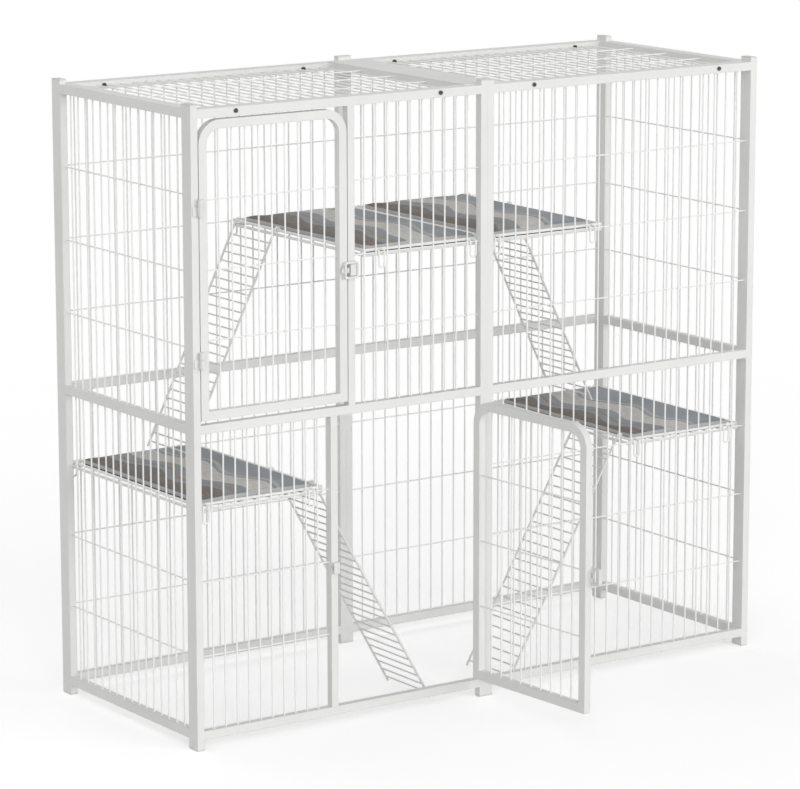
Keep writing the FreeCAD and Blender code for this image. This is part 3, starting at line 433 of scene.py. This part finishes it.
def band_mesh(name, pad):
    """The cloth band: the upper part of the pad's side, set off a little from it."""
    mesh = bpy.data.meshes.new(name)
    shape = bmesh.new()
    shape.from_mesh(pad)
    other = [face for face in shape.faces if face.material_index != BAND]
    bmesh.ops.delete(shape, geom=other, context="FACES")
    for vert in shape.verts:
        vert.co += vert.normal * BAND_LIFT
    for face in shape.faces:
        face.material_index = 0
    shape.to_mesh(mesh)
    shape.free()
    return mesh


def outline(half_x, half_y, corner, step):
    """Points round a rounded rectangle, with the outward direction at each."""
    points = []
    for sign_x, sign_y, start in ((1, 1, 0), (-1, 1, 90), (-1, -1, 180), (1, -1, 270)):
        centre = Vector((sign_x * (half_x - corner), sign_y * (half_y - corner)))
        for turn in range(0, 91, 15):
            angle = math.radians(start + turn)
            outward = Vector((math.cos(angle), math.sin(angle)))
            points.append((centre + corner * outward, outward))
    dense = []
    for (start, out_a), (end, out_b) in zip(points, points[1:] + points[:1]):
        count = max(1, round((end - start).length / step))
        for number in range(count):
            share = number / count
            dense.append((start.lerp(end, share), out_a.lerp(out_b, share).normalized()))
    return dense


def add_stitch(shape, surface, point, outward):
    """One stitch: a small closed arch of triangular section that lies on the surface."""
    run = Vector((-outward.y, outward.x, 0.0)) * STITCH_REACH
    side = Vector((outward.x, outward.y, 0.0)) * STITCH_WIDTH
    ridge = Vector((0, 0, STITCH_RIDGE))
    rings = []
    for step, rise in STITCH_ARCH:
        over = Vector((point.x, point.y, 1.0)) + run * step
        spot = surface.ray_cast(over, Vector((0, 0, -1)))[0] + Vector((0, 0, rise))
        rings.append([shape.verts.new(corner) for corner in (spot - side, spot + ridge, spot + side)])
    for first, second in zip(rings, rings[1:]):
        for index in range(3):
            after = (index + 1) % 3
            shape.faces.new((first[index], second[index], second[after], first[after]))
    shape.faces.new(rings[0])
    shape.faces.new(rings[-1])


def stitch_mesh(name, pad, wide, deep):
    """A row of stitches on the pad, just inside its band."""
    mesh = bpy.data.meshes.new(name)
    shape = bmesh.new()
    spots = [vert.co for vert in pad.vertices]
    surface = BVHTree.FromPolygons(spots, [face.vertices for face in pad.polygons])
    half_x = wide / 2 - STITCH_BACK
    half_y = deep / 2 - STITCH_BACK
    last = Vector((0, 0))
    for point, outward in outline(half_x, half_y, STITCH_CORNER, STITCH_SPACING):
        if (point - last).length < STITCH_LEAST:
            continue
        last = point
        add_stitch(shape, surface, point, outward)
    bmesh.ops.recalc_face_normals(shape, faces=shape.faces)
    shape.to_mesh(mesh)
    shape.free()
    return mesh


low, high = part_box(min(mats))
wide, deep, thick = high - low
filled = filled_mesh(wide, deep, thick)
for count, (name, (shift, phase)) in enumerate(zip(sorted(mats), PRINTS)):
    low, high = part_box(name)
    place = Vector(((low.x + high.x) / 2, (low.y + high.y) / 2, low.z))
    mesh = pad_mesh(name + "_pad", filled, SEED_STEP * count)
    pad = new_piece(name + "_pad", mesh, place, mat_cloth(name + "_print", shift, phase))
    pad.data.materials.append(edging)
    pad.data.materials.append(underside)
    subdivide(pad)
    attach(pad, "cage")
    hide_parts(name)
    mesh = band_mesh(name + "_edge_band", pad.data)
    band = new_piece(name + "_edge_band", mesh, place, edging)
    sheet = band.modifiers.new("thickness", "SOLIDIFY")
    sheet.thickness = BAND_THICKNESS
    sheet.offset = 1.0
    subdivide(band)
    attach(band, "cage")
    mesh = stitch_mesh(name + "_stitches", pad.data, wide, deep)
    stitches = new_piece(name + "_stitches", mesh, place, stitching)
    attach(stitches, "cage")


# Stage: a pale floor that keeps the shadow, even studio light, and the photograph's camera.

FLOOR_REACH = 60.0
FLOOR_DROP = 0.5 * MM
FLOOR_GLOW = 0.37
AMBIENT = 0.40

# Lamps: the direction towards each, its strength and its spread in degrees.
LAMPS = {
    "key": ((0.45, -0.87, 0.20), 1.25, 40),
    "fill": ((-0.55, -0.80, 0.40), 0.95, 50),
    "back": ((-0.20, 0.60, 0.80), 0.45, 60),
}

# The camera as fitted to the photograph: angles in radians, lens and sensor in millimetres.
CAMERA_AZIMUTH = -0.605525
CAMERA_ELEVATION = 0.200537
CAMERA_ROLL = -0.001382
CAMERA_PLACE = (-4.52416, -6.23278, 2.20031)
CAMERA_LENS = 173.457
CAMERA_SENSOR = 36.0


def seen_directly(tree):
    """1 for rays from the camera, from a glossy surface or through a clear one, and else 0."""
    rays = tree.nodes.new("ShaderNodeLightPath")
    seen = rays.outputs["Is Camera Ray"]
    for kind in ("Is Glossy Ray", "Is Transmission Ray"):
        either = tree.nodes.new("ShaderNodeMath")
        either.operation = "MAXIMUM"
        tree.links.new(seen, either.inputs[0])
        tree.links.new(rays.outputs[kind], either.inputs[1])
        seen = either.outputs[0]
    return seen


def build_floor():
    """A pale floor that glows a little where it is seen, so that it meets the white backdrop."""
    mesh = bpy.data.meshes.new("studio_floor")
    corners = [(FLOOR_REACH * x, FLOOR_REACH * y, 0) for x, y in ((-1, -1), (1, -1), (1, 1), (-1, 1))]
    mesh.from_pydata(corners, [], [(0, 1, 2, 3)])
    floor = bpy.data.objects.new("studio_floor", mesh)
    floor.location.z = -FLOOR_DROP
    bpy.context.scene.collection.objects.link(floor)
    graph = Graph("studio_floor")
    graph.set("Base Color", graph.blend(graph.noise(1.5), (0.90, 0.90, 0.90), (0.88, 0.88, 0.88)))
    graph.set("Roughness", 0.9)
    graph.set("Specular IOR Level", 0.0)
    graph.set("Emission Color", (1, 1, 1, 1))
    graph.set("Emission Strength", graph.math("MULTIPLY", seen_directly(graph.tree), FLOOR_GLOW))
    mesh.materials.append(graph.material)


def build_world():
    """A white backdrop where it is seen, and dimmer light from all round."""
    world = bpy.data.worlds.new("studio")
    bpy.context.scene.world = world
    world.use_nodes = True
    tree = world.node_tree
    tree.nodes.clear()
    output = tree.nodes.new("ShaderNodeOutputWorld")
    mix = tree.nodes.new("ShaderNodeMixShader")
    tree.links.new(seen_directly(tree), mix.inputs[0])
    for index, strength in enumerate((AMBIENT, 1.0), start=1):
        light = tree.nodes.new("ShaderNodeBackground")
        light.inputs["Color"].default_value = (1, 1, 1, 1)
        light.inputs["Strength"].default_value = strength
        tree.links.new(light.outputs[0], mix.inputs[index])
    tree.links.new(mix.outputs[0], output.inputs["Surface"])


def build_lamps():
    for name, (source, strength, spread) in LAMPS.items():
        lamp = bpy.data.lights.new(name, "SUN")
        lamp.energy = strength
        lamp.angle = math.radians(spread)
        item = bpy.data.objects.new(name, lamp)
        item.rotation_mode = "QUATERNION"
        item.rotation_quaternion = Vector(source).to_track_quat("Z", "Y")
        bpy.context.scene.collection.objects.link(item)


def build_camera():
    level = math.cos(CAMERA_ELEVATION)
    back = Vector((math.sin(CAMERA_AZIMUTH) * level, -math.cos(CAMERA_AZIMUTH) * level,
                   math.sin(CAMERA_ELEVATION)))
    right = Vector((math.cos(CAMERA_AZIMUTH), math.sin(CAMERA_AZIMUTH), 0.0))
    up = back.cross(right)
    turned_right = math.cos(CAMERA_ROLL) * right + math.sin(CAMERA_ROLL) * up
    turned_up = -math.sin(CAMERA_ROLL) * right + math.cos(CAMERA_ROLL) * up
    data = bpy.data.cameras.new("camera")
    data.sensor_fit = "HORIZONTAL"
    data.sensor_width = CAMERA_SENSOR
    data.lens = CAMERA_LENS
    data.clip_start = 0.1
    data.clip_end = 200.0
    camera = bpy.data.objects.new("camera", data)
    turn = Matrix((turned_right, turned_up, back)).transposed().to_4x4()
    camera.matrix_world = Matrix.Translation(CAMERA_PLACE) @ turn
    bpy.context.scene.collection.objects.link(camera)
    bpy.context.scene.camera = camera


build_floor()
build_world()
build_lamps()
build_camera()
bpy.context.scene.view_settings.view_transform = "Standard"
